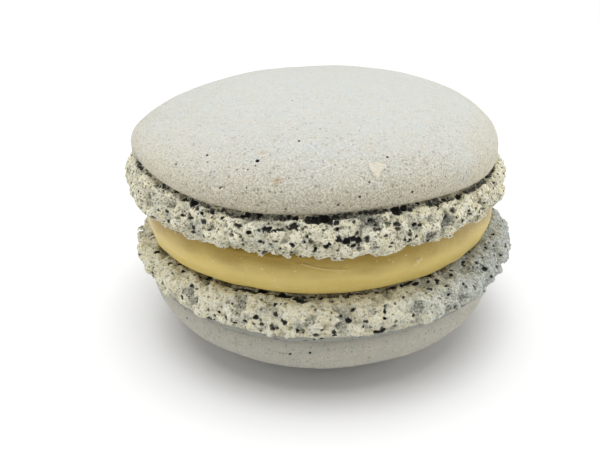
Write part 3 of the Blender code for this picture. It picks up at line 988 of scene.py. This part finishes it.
def crumb_material():
    """Torn crumb: cream grains with pale tops partly painted highlight, bluish grey in the recesses partly painted
    shade, and painted shade near black inside the bubbles, cracks and pores.
    """
    material, graph, shader = new_material("crumb", 0.8)
    point = object_point(graph)
    x, y, z = graph.split(point)
    lower = graph.step(16.5, 14.5, z)
    grit = graph.noise(point, 0.3, 4.0, 0.65)
    grains = graph.noise(graph.moved(point, (4, 1, 7)), 0.24, 1.0)
    patches = mottled(graph, point, 0.9, 3.5)
    blue = mottled(graph, graph.moved(point, (3, 9, 1)), 1.8, 3.0)
    depth = mark(graph, "depth") + grit * 0.9
    colour = graph.mix(patches, CRUMB_CREAM, CRUMB_PALE)
    stained = graph.step(22.2, 20.2, graph.math("SQRT", x * x + y * y))
    colour = graph.mix(stained * 0.35, colour, CRUMB_STAIN)
    cool = graph.step(4.0, 18.0, x) * lower
    colour = graph.mix(cool * 0.9, colour, CRUMB_COOL)
    # Darker bluish grey deeper in the crumb: partly its own colour inside, partly painted shade in the recesses
    colour = graph.mix(graph.step(0.05, 0.55, depth) * (0.35 + 0.5 * blue), colour, CRUMB_RECESS_AND_SHADE)
    skirt = graph.step(0.2, 0.8, mark(graph, "skirt") + grit * 1.5)
    # The shallow hollows painted the same grey: partly their wall's own colour, partly painted shade
    hollow = graph.step(0.3, -0.15, mark(graph, "hollow") + grit)
    colour = graph.mix(hollow * 0.7, colour, CRUMB_RECESS_AND_SHADE)
    # Pale on the raised grains: partly the crumb's own drier colour, partly painted highlight
    colour = graph.mix(graph.step(0.0, 0.12, grains) * 0.6, colour, CRUMB_GRAIN_AND_HIGHLIGHT)
    # Painted shade: dark in the low spots of the grit, between grains
    colour = graph.mix(graph.step(0.0, -0.12, grit) * (0.8 - 0.3 * lower), colour, CRUMB_GAP_SHADE)
    # Pores, dented by the bump and painted near black inside as painted shade
    pores = dotted(graph, graph.torn(point, 0.3, 0.15), 0.5, -0.07, 0.18, 0.03)
    colour = graph.mix(pores * (0.92 - 0.15 * lower), colour, CRUMB_PORE_SHADE)
    colour = graph.mix(skirt * 0.85, colour, CRUMB_SKIRT)
    # Painted shade: near black inside the voids and bubbles, deep in the crumb and in the torn cracks, less in the
    # hollows
    inside = graph.step(0.12, 0.02, mark(graph, "void")) * graph.step(-0.1, 0.2, depth)
    line = graph.step(0.06, -0.02, mark(graph, "line") + grit * 0.2)
    hole_shade = inside.at_least(graph.step(0.7, 1.2, depth)).at_least(line) * (1 - hollow * 0.7)
    colour = graph.mix(hole_shade * 0.95, colour, CRUMB_HOLE_SHADE)
    relief = (grit * 1.5 + grains - pores) * (1 - skirt * 0.7)
    finish_shader(graph, shader, colour, relief, 0.25)
    return material


def cream_material():
    """Soft buttercream with a satin sheen, faint smears, pale beads and painted shade along its top under the upper
    shell.
    """
    material, graph, shader = new_material("buttercream", 0.36)
    shader.inputs["Subsurface Weight"].default_value = 0.2
    shader.inputs["Subsurface Radius"].default_value = (1.0, 0.7, 0.25)
    shader.inputs["Subsurface Scale"].default_value = 1.0 * MM
    point = object_point(graph)
    smears = graph.stretched(point, (1.0, 1.0, 2.5))
    soft = mottled(graph, smears, 3.5, 2.0)
    fine = mottled(graph, smears, 0.35, 2.2)
    colour = graph.mix(soft, CREAM_DEEP, CREAM_LIGHT)
    colour = graph.mix(fine * 0.25, colour, CREAM_FINE)
    # Painted shade: the cream darkens towards its top, where the upper shell overhangs it
    height = graph.split(point)[2] + soft
    colour = graph.mix(graph.step(UPPER_CONTACT - 2.6, UPPER_CONTACT, height) * 0.9, colour, CREAM_TOP_SHADE)
    specks = dotted(graph, smears, 1.5, -0.12, 0.1, 0.04)
    colour = graph.mix((specks * 0.45).at_least(mark(graph, "bead") * 0.6), colour, BEAD)
    relief = soft * 0.8 + fine * 0.3 + specks * 0.4
    finish_shader(graph, shader, colour, relief, 0.1)
    return material


def add_camera():
    data = bpy.data.cameras.new("camera")
    camera = bpy.data.objects.new("camera", data)
    bpy.context.scene.collection.objects.link(camera)
    camera.location = (base_middle + CAMERA_PLACE) * MM
    camera.rotation_mode = "QUATERNION"
    camera.rotation_quaternion = (CAMERA_TARGET - CAMERA_PLACE).to_track_quat("-Z", "Y")
    data.sensor_width = SENSOR_WIDTH
    data.lens = FOCAL_PIXELS / PHOTO_WIDTH * SENSOR_WIDTH
    data.clip_start = 0.002
    data.clip_end = 20
    bpy.context.scene.camera = camera


def add_softbox(name, place, watts):
    """A square lamp that faces the macaron."""
    data = bpy.data.lights.new(name, "AREA")
    data.size = SOFTBOX_SIZE * MM
    data.energy = watts
    lamp = bpy.data.objects.new(name, data)
    lamp.location = Vector(place) * MM
    lamp.rotation_mode = "QUATERNION"
    lamp.rotation_quaternion = (LIT_POINT - Vector(place)).to_track_quat("-Z", "Y")
    bpy.context.scene.collection.objects.link(lamp)


def add_surroundings():
    """A plain pale floor and soft studio light, most of it from above."""
    bpy.ops.mesh.primitive_plane_add(size=FLOOR_METRES)
    floor = bpy.context.object
    floor.name = "floor"
    material, _, shader = new_material("pale_floor", 0.9)
    shader.inputs["Base Color"].default_value = FLOOR_COLOUR
    floor.data.materials.append(material)
    world = bpy.data.worlds.new("studio")
    world.use_nodes = True
    background = world.node_tree.nodes["Background"].inputs
    background["Color"].default_value = (1, 1, 1, 1)
    background["Strength"].default_value = WORLD_STRENGTH
    bpy.context.scene.world = world
    sun = bpy.data.lights.new("overhead", "SUN")
    sun.energy = SUN_STRENGTH
    sun.angle = SUN_WIDTH
    lamp = bpy.data.objects.new("overhead", sun)
    lamp.rotation_euler = SUN_TILT
    bpy.context.scene.collection.objects.link(lamp)
    for name, place, watts in SOFTBOXES:
        add_softbox(name, place, watts)
    view = bpy.context.scene.view_settings
    view.view_transform = "Standard"
    view.look = "None"


base_middle = middle_of_base()

# The two baked shells. direction is 1 where the crown points up and -1 where it points down. skin and foot are radii,
# and groove is how far the lip narrows. roundness and fullness shape the dome. The waves are wavy lines round the
# cake, and thin_sides says where the foot is thinner. shoulder is the depth and the rise of the foot's quarter
# ellipse next to the skin, and skirt the share of the smooth skirt on it. torn_lines are the cracks in the crumb:
# (radius, height, half width, share of change in width, share by which it follows the filling's edge).
UPPER = SimpleNamespace(
    name="upper", direction=1, contact=UPPER_CONTACT, middle=base_middle + Vector((-1.05, 0, 0)), height=11.85,
    skin=21.65, foot=22.75, groove=1.5, roundness=2.35, fullness=2.1, lean=0.03, crown_shift=0.4,
    rim_wave=[(-0.35, -0.45), (-0.04, 0.07), (-0.19, -0.24), (0.11, 0.26)],
    foot_wave=[(0.12, 0.05), (0.08, -0.1), (0.05, 0.12)],
    tilt_wave=[],
    thin_sides=[],
    shoulder=(3.6, 2.6),
    skirt=0,
    torn_lines=[(21.3, 4.0, 0.34, 3.0, 0)],
    seed=11,
)
LOWER = SimpleNamespace(
    name="lower", direction=-1, contact=LOWER_CONTACT, middle=base_middle, height=12.95,
    skin=21.85, foot=23.25, groove=0.7, roundness=2.6, fullness=2.15, lean=0.0, crown_shift=0.0,
    rim_wave=[(0.0, -0.1), (0.0, 0.05), (0.14, 0.01), (0.05, -0.03)],
    foot_wave=[(0.2, 0.06), (0.0, 0.05), (0.1, -0.06)],
    tilt_wave=[(-0.15, 0.0), (-0.2, 0.0)],
    thin_sides=[(0, -2.1, 8), (180, -1.8, 8)],
    shoulder=(2.8, 3.0),
    skirt=1,
    torn_lines=[(21.75, 4.25, 0.2, 1.2, 0), (19.6, 0.0, 0.14, 4.0, 1)],
    seed=29,
)

pinpricks = pinprick_group()
mottle = mottle_group()
upper_skin_look = skin_material("upper_skin", (0.635, 0.66, 0.65), (0.66, 0.61, 0.465), 22.3, 28.5)
# Painted shade: the lower skin takes darker colours than the upper one, as the shell that faces down
lower_skin_look = skin_material("lower_skin", (0.47, 0.46, 0.41), (0.46, 0.46, 0.42), 4.0, 9.0)
crumb_look = crumb_material()

made = [
    (make_skin(UPPER, UPPER_PINHOLES, TAN_SPOTS, True, upper_skin_look), "upper_shell", "shell"),
    (make_foot(UPPER, UPPER_VOIDS, UPPER_HOLLOWS, crumb_look), "upper_shell", "shell"),
    (make_filling(cream_material()), "filling", "filling"),
    (make_foot(LOWER, LOWER_VOIDS, LOWER_HOLLOWS, crumb_look), "lower_shell", "shell"),
    (make_skin(LOWER, LOWER_PINHOLES, [], False, lower_skin_look), "lower_shell", "shell"),
]
for piece, node, slot in made:
    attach(piece, "root")
    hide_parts(node)

add_camera()
add_surroundings()
